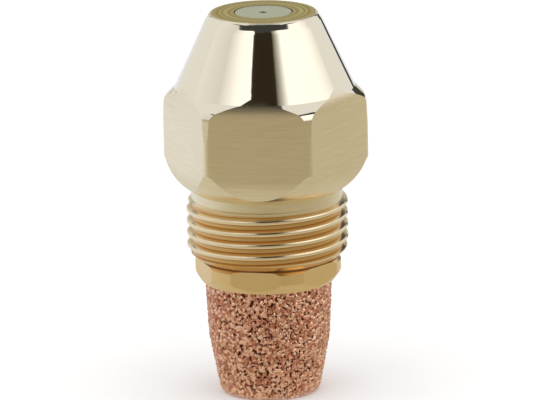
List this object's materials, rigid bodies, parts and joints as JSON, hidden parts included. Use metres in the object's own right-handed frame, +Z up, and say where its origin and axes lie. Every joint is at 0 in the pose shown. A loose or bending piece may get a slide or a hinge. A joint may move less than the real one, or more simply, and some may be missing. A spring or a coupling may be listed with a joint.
{
  "type": "oil burner nozzle",
  "caption": "Brass oil burner nozzle with a cone nose, wrench hexagon, adapter thread and a screw-in sintered bronze filter.",
  "frame": {"origin": "centre of the filter's closed end, which the nozzle stands on", "axes": "+Z up the nozzle's axis, the way the oil sprays; one flat of the body's hexagon faces -Y"},
  "size_m": [0.018, 0.0158, 0.0343],
  "materials": {
    "body_brass": "polished",
    "base_brass": "satin",
    "stainless": "satin",
    "sintered_bronze": "matte",
    "copper": "satin"
  },
  "bodies": {
    "nozzle": {"nozzle_body": "body_brass"},
    "seal_ring": {"filter_seal_ring": "copper"},
    "filter": {"filter_base": "base_brass", "filter_element": "sintered_bronze"},
    "swirl_insert": {"distributor": "stainless", "orifice_disc": "stainless"},
    "clamp_screw": {"lock_screw": "base_brass"}
  },
  "joints": [
    {"name": "filter_travel", "type": "slide", "parent": "nozzle", "child": "seal_ring", "axis": [0, 0, -1], "range_m": [0, 0.00397]},
    {"name": "filter_unscrew", "type": "hinge", "parent": "seal_ring", "child": "filter", "pos_m": [0, 0, 0.012], "axis": [0, 0, -1], "range_deg": [0, 1800]},
    {"name": "distributor_travel", "type": "slide", "parent": "nozzle", "child": "swirl_insert", "axis": [0, 0, -1], "range_m": [0, 0.00397]},
    {"name": "lock_screw_unscrew", "type": "hinge", "parent": "swirl_insert", "child": "clamp_screw", "pos_m": [0, 0, 0.025], "axis": [0, 0, -1], "range_deg": [0, 1800]}
  ],
  "couplings": [
    {"joint": "filter_unscrew", "follows": "filter_travel", "rad_per_m": 7915.8},
    {"joint": "lock_screw_unscrew", "follows": "distributor_travel", "rad_per_m": 7915.8}
  ]
}
